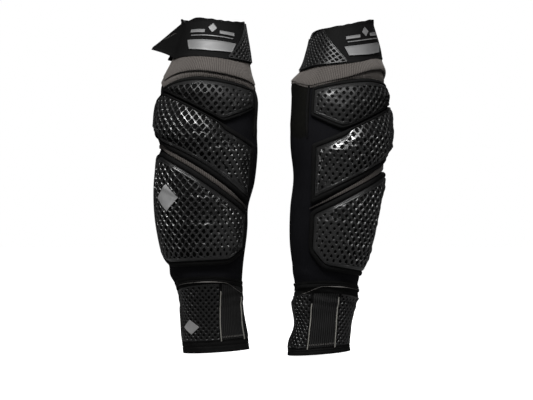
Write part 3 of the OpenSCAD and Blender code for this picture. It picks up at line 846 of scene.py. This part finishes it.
def pad(guard, name, body, line, crest, folds=(), n=220, softness=4.0, border_w=BORDER_W):
    """A moulded pad with its lattice, on foam, inside a rolled fabric border.

    folds are soft ridges across the face: each a height, a slope along the leg's girth and a rise.
    """
    shape = PadShape(guard, line, softness, folds, border_w)
    border_depths = np.concatenate([np.arange(0, 8, 0.45), [8.2]])
    spots, depth = shape.grid(BORDER_W - 2, border_depths, n)
    a, z = spots[..., 0] / shape.k, spots[..., 1]
    face, hole = pad_face(shape, spots, depth, crest)
    under_holes = face - HOLE_DEPTH * (1 - hole) - 0.6
    bottom = np.minimum(0.6 + 0.75 * np.clip(depth - 5, 0, None), under_holes)
    # the upper pad takes the copy of the skin painted paler, a painted sheen from the top light
    cover = "pad_matt_painted_sheen" if name == "upper_pad" else "pad_cover"
    skin = layer(f"{name}_skin", guard, a, z, bottom, face, spots[..., 0], cover, 80, hole > 0.35)
    ride(skin, guard, body, "pad_cover", f"{name}_cover")

    foam_spots, foam_depth = shape.grid(9, [0, 1.5, 3], 36)
    a, z = foam_spots[..., 0] / shape.k, foam_spots[..., 1]
    rise = np.minimum(0.9 + 0.5 * np.clip(foam_depth - 8, 0, None), FOAM_TOP - 1)
    foam = layer(f"{name}_foam_block", guard, a, z, 0.6, rise, foam_spots[..., 0], "foam")
    ride(foam, guard, body, "foam", f"{name}_foam")

    section = [(0.3, 0.5), (0.0, 1.6), (0.3, 3.3), (1.5, 4.7), (3.4, 5.4), (5.4, 5.3),
               (6.9, 4.6), (BORDER_W, 3.4), (BORDER_W, 2.0), (4.0, 0.6)]
    rings = []
    for d, off in section:
        spot = shape.inset_line(d)
        rings.append(guard.surface(spot[:, 0] / shape.k, spot[:, 1], off))
    rings = np.stack(rings, 1)
    rings = np.concatenate([rings, rings[:1]])
    run = np.arange(len(rings)) * 1.0
    uv = np.stack(np.broadcast_arrays(run[:, None], np.arange(len(section)) * 1.6), -1)
    border = closed_section(f"{name}_border", guard, rings, uv, "binding", 60)
    ride(border, guard, body, "binding")
    return shape


def edge_points(low, high, a0, a1, count=40):
    """The outline between two lines, from its lower inner corner round by the outer side."""
    a = np.linspace(a0, a1, count)
    bottom = np.stack([a, low(a)], -1)
    top = np.stack([a, high(a)], -1)[::-1]
    return np.concatenate([bottom, top])


def build_pads(guard):
    def knee_low(a):
        return guard.strip(a) + guard.strip_half(a) + LAYER + guard.strip_wedge(a)

    def knee_high(a):
        return guard.groove(a) - GROOVE_HALF - guard.groove_wedge(a)

    def shin_high(a):
        return guard.strip(a) - guard.strip_half(a) - LAYER - guard.strip_wedge(a)

    def shin_low(a):
        height, rise = guard.look["shin_low"]
        inner_corner = guard.look["shin_corner"] * smoothstep(-16, -48, a) ** 1.5
        outer_corner = 10 * smoothstep(70, 98, a) ** 1.5
        return height + rise * to_side(a) + (inner_corner + outer_corner)

    def knee_crest(a, z):
        from_crest = z - (guard.groove_z + guard.look["groove"][0] - 9)
        return 3.5 - 0.13 * np.clip(from_crest, 0, 40) - 6.0 * smoothstep(0, 90, -from_crest)

    upper_outer = guard.look["upper_pad_outer"]
    upper_inner, inner = guard.look["upper_pad_inner"], guard.look["pad_inner"]
    upper = edge_points(guard.upper_pad_bottom, guard.upper_pad_top, upper_inner, upper_outer)
    knee = edge_points(knee_low, knee_high, inner, PAD_OUTER_A)
    shin = edge_points(shin_low, shin_high, inner, PAD_OUTER_A)
    knee_folds = ((306, 0.1, 2.0), (288, 0.35, 1.8), (322, 0.25, 1.2))
    shin_folds = ((197, 0.0, 2.0), (164, -0.05, 2.2), (230, 0.3, 1.4), (150, -0.1, 1.2))
    pad(guard, "upper_pad", "thigh", upper, no_crest, softness=2.5, border_w=5.0)
    pad(guard, "knee_pad", "knee", knee, knee_crest, knee_folds, n=260, softness=3.0)
    shape = pad(guard, "shin_pad", "shin", shin, no_crest, shin_folds, n=260, softness=7.0)
    if guard.side == "left":
        def pad_top(s, z):
            depth = shape.distance(np.stack([s, z], -1).reshape(-1, 2)).reshape(s.shape)
            face, hole = pad_face(shape, np.stack([s, z], -1), depth, no_crest)
            return face + HOLE_DEPTH * hole

        patch(guard, "shin_patch", (54, 238), (17, 20), pad_top)


# ---- Sleeve ----


def build_sleeve(guard):
    def top(a):
        return guard.strap_high(a) - 2

    def seam_line(a):
        return guard.groove(a) - UPPER_FLEX_REACH - 1

    def bottom(a):
        return guard.cuff_top(a) + LAYER

    for name, low, high, rows, which, nodes in (
        ("upper_sleeve", seam_line, top, 60, "upper", ("thigh_sleeve", "upper_gusset")),
        ("lower_sleeve", bottom, seam_line, 70, "lower", ("knee_sleeve", "lower_gusset", "shin_sleeve")),
    ):
        piece = cloth(
            f"{name}_knit", guard, ALL_ROUND, low, high, -SLEEVE_T, 0, "sleeve", 150, rows,
            guard.sleeve_wave,
        )
        flex(piece, guard, which, "sleeve", *nodes)
        as_sheet(piece, guard, "stretched", "ankle_cuff")


# ---- Bands, strap and cuff ----


def build_rib_panel(guard):
    """Ribbed band over the pads' top edge, with the fold that hangs over it."""
    cols = 4 * RIBS
    a = np.linspace(-180, 180, cols + 1)
    low, high = guard.rib_low(a), guard.strap_low(a) + 6
    if guard.side == "left":
        share = 0.26 + 0.05 * np.sin(np.radians(a * 1.5 + 20))
        depth = 0.15 + 0.85 * hump(a, 8, 108)
    else:
        share = 0.16 + 0.34 * hump(a, 44, 62) + 0.05 * np.sin(np.radians(a * 2))
        depth = 0.3 + 0.9 * hump(a, 38, 80)
    profile = [
        (0.00, 0.8), (0.05, 1.6), (0.12, 3.0), (0.22, 3.3), (0.30, 2.6), (0.35, 1.0),
        (0.40, 0.3), (0.43, 0.4), (0.42, 2.2), (0.37, 4.4), (0.31, 6.2), (0.33, 7.6),
        (0.42, 8.2), (0.54, 7.2), (0.68, 5.4), (0.84, 3.4), (1.0, 0.9),
    ]
    t = np.linspace(0, 1, 61)
    marks = np.linspace(0, 1, len(profile))
    rise, bulge = (np.interp(t, marks, values) for values in zip(*profile))
    smooth = np.array([0.25, 0.5, 0.25])
    for _ in range(3):
        rise[1:-1] = np.convolve(rise, smooth, "valid")
        bulge[1:-1] = np.convolve(bulge, smooth, "valid")
    middle = 0.40
    height = (high - low)[:, None]
    warp = np.where(rise < middle, rise * share[:, None] / middle,
                    share[:, None] + (rise - middle) * (1 - share[:, None]) / (1 - middle))
    z = low[:, None] + height * warp
    plain = 0.8 + 0.1 * t
    off = plain + (bulge - plain) * depth[:, None]
    s = a * guard.mm_per_degree(RIB_Z)
    ribs = 0.35 * np.cos(2 * np.pi * np.arange(cols + 1) / 4)[:, None]
    fold_turn = np.radians(a[:, None] * 14 + z * 2)
    side_folds = hump(a, -75, 40)[:, None] * np.sin(fold_turn) * hump(t, 0.5, 0.5)
    wave = 0.5 * ripples(s[:, None], z, 45, guard.seed + 50) * hump(t, 0.5, 0.55) + 1.1 * side_folds
    grid_a = a[:, None] * np.ones_like(t)
    outer = guard.surface(grid_a, z, off + ribs + wave * 0.7 + 0.9)
    inner = guard.surface(grid_a, z, off + wave * 0.7 - 0.3)
    uv = np.stack([grid_a * RIB_PITCH * RIBS / 360, low[:, None] + height * t * 1.2], -1)
    piece = slab("rib_band", guard, outer, inner, uv, "rib_knit", wrap=True, sharp=75)
    flex(piece, guard, "upper", "rib_knit", "rib_panel")
    as_sheet(piece, guard, "gathered", "upper_sleeve_knit")


def build_flex_strip(guard):
    """Finely ribbed band between the knee pad and the shin pad, which tapers to its inner end."""
    inner = guard.look["pad_inner"]
    a, t = even_grid((inner - 1, PAD_OUTER_A + 1), (-1, 1), 90, 24)
    taper = smoothstep(inner - 2, -10 if guard.side == "left" else 30, a)
    half = (guard.strip_half(a) - 0.3) * (0.25 + 0.75 * taper)
    z = guard.strip(a) + half * t
    ribs = 0.28 * np.cos(2 * np.pi * t * 2.5) * (1 - t**6)
    dome = 2.6 * (1 - t**4) ** 0.5
    s = a * guard.mm_per_degree(guard.strip_z)
    piece = layer("flex_band", guard, a, z, LAYER, LAYER + 0.3 + dome + ribs, s, "rib_knit", 75)
    flex(piece, guard, "lower", "rib_knit", "flex_strip")
    as_sheet(piece, guard, "stretched", "lower_sleeve_knit")


def build_panels(guard):
    """Mesh panels on the inner side of the knee and over the calf, and the band inside the top."""
    def low(a):
        return guard.groove(a) + 14 + guard.groove_wedge(a)

    def high(a):
        return guard.rib_low(a) - 0.8

    def face(a, z):
        return 0.15 + 0.7 * smoothstep(0, 12, z - low(a))

    a_range = (-105, guard.look["upper_pad_inner"] - 4)
    knee = cloth("knee_mesh", guard, a_range, low, high, 0.05, face, "mesh", 50, 30, guard.sleeve_wave)
    flex(knee, guard, "upper", "mesh", "thigh_mesh_panel")
    as_sheet(knee, guard, "stretched", "upper_sleeve_knit")

    z = np.linspace(399, guard.groove(-57) + 12, 50)
    line = np.stack([-56 - 1.5 * np.sin((z - 330) / 22), z, 1.2 + guard.sleeve_wave(-56, z)], -1)
    welt = cords("knee_welt", guard, [line], 2.4 - 1.2 * hump(z, z[-1], 12), "binding")
    flex(welt, guard, "upper", "sleeve")

    def calf_top(a):
        return guard.strip(a) - 12 - guard.strip_wedge(a)

    calf = cloth(
        "calf_mesh", guard, (125, 235), lambda a: 129 + 0 * a, calf_top, LAYER, LAYER + 0.9, "mesh", 80, 60,
        lambda a, z: guard.sleeve_wave(np.where(a > 180, a - 360, a), z),
    )
    flex(calf, guard, "lower", "mesh", "calf_panel")
    as_sheet(calf, guard, "stretched", "lower_sleeve_knit")

    band = cloth(
        "silicone_band", guard, ALL_ROUND, lambda a: guard.strap_high(a) - 22,
        lambda a: guard.strap_high(a) - 6, -3.0,
        lambda a, z: -2.1 + 0.25 * np.sin(np.radians(a * 24)) * np.sin(z * 1.4), "silicone",
        150, 16, guard.sleeve_wave,
    )
    ride(band, guard, "thigh", "silicone", "gripper_strip")


def build_strap(guard):
    quilt_pitch = 9.6
    start, end = -248, 84
    a, z = sheet_grid((start, end), guard.strap_low, guard.strap_high, 330, 40)
    s = a * guard.mm_per_degree(STRAP_Z)
    height = guard.strap_high(a) - guard.strap_low(a)
    t = (z - guard.strap_low(a)) / height
    z = z + 0.4 * np.sin(2 * np.pi * s / 17 + 2 * np.sin(s / 13)) * smoothstep(0.7, 1, t)
    from_edge = np.minimum(t, 1 - t) * height
    binding = 0.55 * (1 - smoothstep(3.2, 4.2, from_edge))
    quilted = smoothstep(-108, -116, a)
    cells = np.abs(np.sin(np.pi * (s + z) / quilt_pitch) * np.sin(np.pi * (s - z) / quilt_pitch))
    off = STRAP_IN + STRAP_T - 0.5 + binding + 0.5 * quilted * cells
    wave = guard.strap_wave(a, z)
    strap = layer("strap_web", guard, a, z, STRAP_IN + wave, off + wave, s, "webbing")
    ride(strap, guard, "thigh", "webbing", "thigh_strap")
    as_sheet(strap, guard, "stretched", "upper_sleeve_knit")

    def plate(name, middle, spread_low, spread_high, lift_low, lift_high, dip, depth, node):
        """A flat plate on the strap, wider or narrower at its top, whose lower edge may dip to a point."""
        u, t = even_grid((-1, 1), (0, 1), 80, 16)
        a = middle + u * (spread_low + (spread_high - spread_low) * t)
        lift = lift_low - dip * (1 - np.abs(u)) * (1 - t) + (lift_high - lift_low) * t
        z = guard.strap_low(a) + lift
        rim = np.minimum(np.minimum(t, 1 - t) * (lift_high - lift_low), (1 - np.abs(u)) * spread_low)
        face = depth - 0.3 * smoothstep(0.9, 1.4, rim)
        wave = guard.strap_wave(a, z)
        s = a * guard.mm_per_degree(STRAP_Z)
        piece = layer(name, guard, a, z, TRIM_IN + wave, TRIM_OFF + face + wave, s, "badge")
        ride(piece, guard, "thigh", "badge", *node)

    middle = guard.look["badge_a"]
    plate("badge_plate", middle, 31, 38, 11, 25, 1.6, 0.9, ("strap_badge",))
    plate("strap_line", middle, 33, 34, 31.0, 32.2, 0, 0.5, ("strap_bars",))
    for k, (shift, spread) in enumerate(((-24, 12), (24, 12))):
        plate(f"strap_bar_{k + 1}", middle + shift, spread, spread, 36, 40.5, 0, 0.5, ())
    for k, (low, high) in enumerate(((0.4, 7), (7, 0.4))):
        plate(f"strap_rhomb_{k + 1}", middle, low, high, 37 + 6.5 * k, 43.5 + 6.5 * k, 0, 0.5, ())

    def grip_high(a):
        return np.minimum(guard.strap_high(a) - 3, guard.strap_low(a) + 5 + 1.22 * (-10 - a))

    a, z = sheet_grid((-112, -10), lambda a: guard.strap_low(a) + 2, grip_high, 200, 130)
    s = a * guard.mm_per_degree(STRAP_Z)
    rim = np.minimum(z - guard.strap_low(a) - 2, grip_high(a) - z)
    hole = lattice(s, z + 0.15 * s, 0.66, (8.2, 8.2)) * smoothstep(0.9, 1.8, rim)
    wave = guard.strap_wave(a, z)
    near, far = TRIM_IN + wave, TRIM_OFF + 1.4 - 1.2 * hole + wave
    grip = layer("strap_grip", guard, a, z, near, far, s, "grip_rubber", holes=hole > 0.4)
    ride(grip, guard, "thigh", "grip_rubber", "strap_grip_panel")

    loop = cloth(
        "strap_loop", guard, (-232, -188), lambda a: guard.strap_low(a) + 8,
        lambda a: guard.strap_high(a) - 8, TRIM_IN, TRIM_OFF + 1.0, "loop", 50, 40,
        guard.strap_wave,
    )
    ride(loop, guard, "thigh", "loop", "strap_loop_patch")


TAB_LENGTH = 53
TAB_ROOT_A = 86
TAB_HEADING = 68
TAB_BEND = 20
TAB_WRAP_A = 84


def build_strap_end(guard):
    """The strap's free end: open and drooping on the left guard, closed over the loop on the right."""
    def low(s):
        return STRAP_LOW + 6 + 17 * s

    def high(s):
        return GUARD_H - 1 - 32 * s

    def open_spot(s, z, off):
        turn_r = TAB_LENGTH / math.radians(TAB_BEND)
        h0, h = math.radians(TAB_HEADING), np.radians(TAB_HEADING - TAB_BEND * s)
        root = guard.surface(np.full_like(z, TAB_ROOT_A), z, STRAP_IN)
        arc = turn_r * np.stack([np.sin(h0) - np.sin(h), np.cos(h) - np.cos(h0), 0 * h], -1)
        droop = np.stack([0 * s, 0 * s, -2.5 * s**2], -1)
        curl = 1.6 * np.sin(np.pi * s * 1.5) * ((z - low(s)) / (high(s) - low(s)) - 0.5)
        return root + arc + droop + (off + curl)[..., None] * np.stack([np.sin(h), -np.cos(h), 0 * h], -1)

    def closed_spot(s, z, off):
        rise = (TRIM_OFF + 2.2 - STRAP_IN) * np.minimum(1, s / 0.35)
        return guard.surface(TAB_ROOT_A + TAB_WRAP_A * s, z, STRAP_IN + rise + off)

    spot = open_spot if guard.side == "left" else closed_spot
    length = TAB_LENGTH if guard.side == "left" else TAB_WRAP_A * guard.mm_per_degree(STRAP_Z)
    s, t = even_grid((0, 1), (0, 1), 90, 40)
    z = low(s) + (high(s) - low(s)) * t
    from_edge = np.minimum(np.minimum(t, 1 - t) * (high(s) - low(s)), (1 - s) * length)
    binding = 0.6 * (1 - smoothstep(3.0, 4.0, from_edge))
    uv = np.stack([s * length, z], -1)
    tab = slab("tab_web", guard, spot(s, z, 1.7 + binding), spot(s, z, 0 * s), uv, "webbing")
    ride(tab, guard, "strap_end", "webbing", "strap_tab")
    as_sheet(tab, guard, "hung" if guard.side == "left" else "laid", "strap_web")

    along = np.linspace(0.2, 0.64, 30)
    line = np.stack([along, high(along) - 9 + 14 * (along - 0.2), 1.9 + 0 * along], -1)
    thread = cords("tab_thread", guard, [line], 0.3, "pale_thread", spot)
    ride(thread, guard, "strap_end", "piping")

    hook_range = (0.45, 0.9) if guard.side == "left" else (40 / TAB_WRAP_A, 70 / TAB_WRAP_A)
    s, t = even_grid(hook_range, (0, 1), 40, 30)
    z = low(s) + 5 + (high(s) - low(s) - 10) * t
    hooks = 0.25 * np.abs(np.sin(s * length * 1.6) * np.sin(z * 1.6))
    uv = np.stack([s * length, z], -1)
    hook = slab("tab_hook", guard, spot(s, z, -0.35 + 0 * s), spot(s, z, -1.0 - hooks), uv, "hook")
    ride(hook, guard, "strap_end", "hook", "strap_hook_patch")


def build_cuff(guard):
    half_panel = 26
    left_edge, right_edge = guard.panel_a - half_panel, guard.panel_a + half_panel

    def above_hem(a):
        return guard.hem_high(a) + 1

    def panel_high(a):
        return guard.cuff_top(a) - (9 if guard.side == "left" else 16)

    def twist(z):
        """Angle by which the cuff has turned on the ankle at height z."""
        return guard.look["cuff_twist"] * smoothstep(10, 100, z)

    wave = guard.cuff_wave

    def cuff_cloth(name, a_range, low, high, near, far, material, cols, rows, holes=None):
        """Cloth on the cuff, turned with it; far is a function of (a, z) from before it turned."""
        a, z = sheet_grid(a_range, low, high, cols, rows)
        turned = a + twist(z)
        waves = wave(turned, z)
        near, far = near + waves, far(a, z) + waves
        s, marked = a * guard.mm_per_degree(CUFF_Z), holes(a, z) if holes else None
        return layer(name, guard, turned, z, near, far, s, material, holes=marked)

    tube = cloth(
        "cuff_tube", guard, ALL_ROUND, guard.hem_low, guard.cuff_top, -SLEEVE_T, 0,
        "cuff_fabric", 150, 50, wave,
    )
    ride(tube, guard, "shin", "cuff_fabric", "ankle_cuff")
    as_sheet(tube, guard, "stretched")

    def hem_face(a, z):
        up = (z - guard.hem_low(a)) / guard.look["hem"][2]
        return 1.3 - 0.5 * hump(up, 0.55, 0.1) - 0.4 * hump(up, 0.88, 0.07)

    def binding_face(a, z):
        up = z - guard.cuff_top(a)
        return 1.5 - 0.7 * hump(up, -1.5, 1.3)

    for name, low, high, face, node, rows in (
        ("cuff_hem_band", lambda a: guard.hem_low(a) - 0.2, guard.hem_high, hem_face, "cuff_hem", 26),
        ("cuff_top_band", lambda a: guard.cuff_top(a) - 6, lambda a: guard.cuff_top(a) + 3,
         binding_face, "cuff_binding", 18),
    ):
        piece = cloth(name, guard, ALL_ROUND, low, high, 0.3, face, "binding", 150, rows, wave)
        ride(piece, guard, "shin", "binding", node)

    def rib_face(a, z):
        s = a * guard.mm_per_degree(CUFF_Z)
        flat = smoothstep(0, 3, z - above_hem(a)) * smoothstep(0, 3, panel_high(a) - z)
        return 1.1 + 0.55 * np.abs(np.cos(np.pi * s / 2.8)) * flat

    ribs = cuff_cloth(
        "cuff_ribs", (left_edge + 2, right_edge - 2), above_hem, panel_high, 0.3, rib_face,
        "cuff_rib", 130, 40,
    )
    ride(ribs, guard, "shin", "cuff_rib", "cuff_rib_panel")

    def grip_hole(a, z):
        rim = np.minimum(z - above_hem(a), panel_high(a) - z)
        return lattice(a * guard.mm_per_degree(CUFF_Z), z, 0.64, (7.4, 9.4)) * smoothstep(1.4, 2.6, rim)

    for k, (a0, a1) in enumerate(((right_edge + 3, 118), (-118, left_edge - 3))):
        piece = cuff_cloth(
            f"cuff_grip_{k + 1}", (a0, a1), above_hem, panel_high, 0.3,
            lambda a, z: 1.5 - 1.0 * grip_hole(a, z), "cuff_grip", int((a1 - a0) * 2), 180,
            holes=lambda a, z: grip_hole(a, z) > 0.4,
        )
        ride(piece, guard, "shin", "grip_rubber", *(("cuff_grip_panels",) if k == 0 else ()))

    for k, (edge, drop) in enumerate(zip((left_edge, right_edge), guard.look["piping_drops"])):
        z = np.linspace(guard.hem_high(edge) - 1, panel_high(edge) - drop, 50)
        line = np.stack([edge + twist(z), z, 1.6 + wave(edge + twist(z), z)], -1)
        piping = cords(f"cuff_piping_{k + 1}", guard, [line], 0.9, "piping")
        ride(piping, guard, "shin", "piping", *(("cuff_piping",) if k == 0 else ()))

    a = np.linspace(66, -62, 90)
    z = guard.cuff_top(a) - 5.5 - 9 * smoothstep(-15, -60, a)
    line = np.stack([a, z, 1.5 + wave(a, z)], -1)
    thick = 0.22 + 0.65 * hump(a, 8, 24)
    seam = cords("cuff_seam", guard, [line], thick, "pale_thread")
    ride(seam, guard, "shin", "piping")

    stitches = []
    for a in np.arange(left_edge + 4, right_edge - 2, 3.2):
        z = above_hem(a) + np.array([3.0, 4.2, 5.4])
        stitches.append(np.stack([a + twist(z), z, 1.9 + wave(a + twist(z), z)], -1))
    row = cords("cuff_stitches", guard, stitches, 0.35, "pale_thread")
    ride(row, guard, "shin", "piping")

    if guard.side == "left":
        def cuff_face(s, z):
            return 1.9 + wave(s / guard.mm_per_degree(CUFF_Z), z)

        patch(guard, "cuff_patch", (52, 45), (13, 11), cuff_face)


# ---- Stage, light and camera ----


def area_light(name, place, target, size, power):
    data = bpy.data.lights.new(name, "AREA")
    data.shape = "RECTANGLE"
    data.size, data.size_y = size
    data.energy = power
    light = add_to_scene(name, data)
    light.location = place
    towards = Vector(target) - Vector(place)
    light.rotation_euler = towards.to_track_quat("-Z", "Y").to_euler()


def for_camera(tree, seen, unseen, output):
    """The camera sees one shader; light and reflections meet the other."""
    mix = tree.nodes.new("ShaderNodeMixShader")
    rays = tree.nodes.new("ShaderNodeLightPath")
    tree.links.new(rays.outputs["Is Camera Ray"], mix.inputs[0])
    tree.links.new(unseen.outputs[0], mix.inputs[1])
    tree.links.new(seen.outputs[0], mix.inputs[2])
    tree.links.new(mix.outputs[0], output.inputs["Surface"])


def build_stage():
    floor_mesh = bpy.data.meshes.new("floor")
    reach, below = 9.0, -0.0005
    corners = [(-reach, -reach, below), (reach, -reach, below), (reach, reach, below), (-reach, reach, below)]
    floor_mesh.from_pydata(corners, [], [(0, 1, 2, 3)])
    floor = add_to_scene("floor", floor_mesh)
    paint = bpy.data.materials.new("floor_white")
    paint.use_nodes = True
    tree = paint.node_tree
    bsdf = tree.nodes["Principled BSDF"]
    bsdf.inputs["Base Color"].default_value = (0.9, 0.9, 0.9, 1)
    bsdf.inputs["Roughness"].default_value = 0.9
    bsdf.inputs["Specular IOR Level"].default_value = 0.1
    bsdf.inputs["Emission Color"].default_value = (1, 1, 1, 1)
    bsdf.inputs["Emission Strength"].default_value = 1.0
    dull = tree.nodes.new("ShaderNodeBsdfDiffuse")
    dull.inputs["Color"].default_value = (0.25, 0.25, 0.25, 1)
    for_camera(tree, bsdf, dull, tree.nodes["Material Output"])
    floor_mesh.materials.append(paint)

    world = bpy.data.worlds.new("studio")
    bpy.context.scene.world = world
    world.use_nodes = True
    tree = world.node_tree
    tree.nodes.clear()
    dim, white = tree.nodes.new("ShaderNodeBackground"), tree.nodes.new("ShaderNodeBackground")
    dim.inputs["Color"].default_value = (0.045, 0.045, 0.048, 1)
    white.inputs["Color"].default_value = (1, 1, 1, 1)
    for_camera(tree, white, dim, tree.nodes.new("ShaderNodeOutputWorld"))

    middle, knees = (0, 0, 0.27), (0, 0, 0.35)
    area_light("key", (-0.3, -1.2, 1.75), knees, (0.4, 0.3), 26)
    area_light("spark", (0.4, -2.3, 1.5), middle, (0.28, 0.2), 4)
    area_light("soft_top", (0.1, -0.8, 1.4), knees, (1.1, 0.5), 17)
    area_light("strip_left", (-1.7, -0.9, 0.5), middle, (0.12, 0.9), 2.5)
    area_light("strip_right", (1.7, -0.9, 0.6), middle, (0.12, 0.9), 2.5)
    area_light("back_top", (0.3, 1.5, 1.7), middle, (1.2, 0.6), 16)
    bpy.context.scene.view_settings.view_transform = "Standard"


def build_camera():
    camera_data = bpy.data.cameras.new("camera")
    camera_data.lens = 180
    camera_data.sensor_width = 36
    camera = add_to_scene("camera", camera_data)
    camera.location = (-0.00975, -4.0, 0.234)
    camera.rotation_euler = (math.radians(90), 0, 0)
    bpy.context.scene.camera = camera


build_camera()
build_stage()
for side in SIDES:
    guard = Guard(side)
    build_sleeve(guard)
    build_pads(guard)
    build_rib_panel(guard)
    build_flex_strip(guard)
    build_panels(guard)
    build_strap(guard)
    build_strap_end(guard)
    build_cuff(guard)
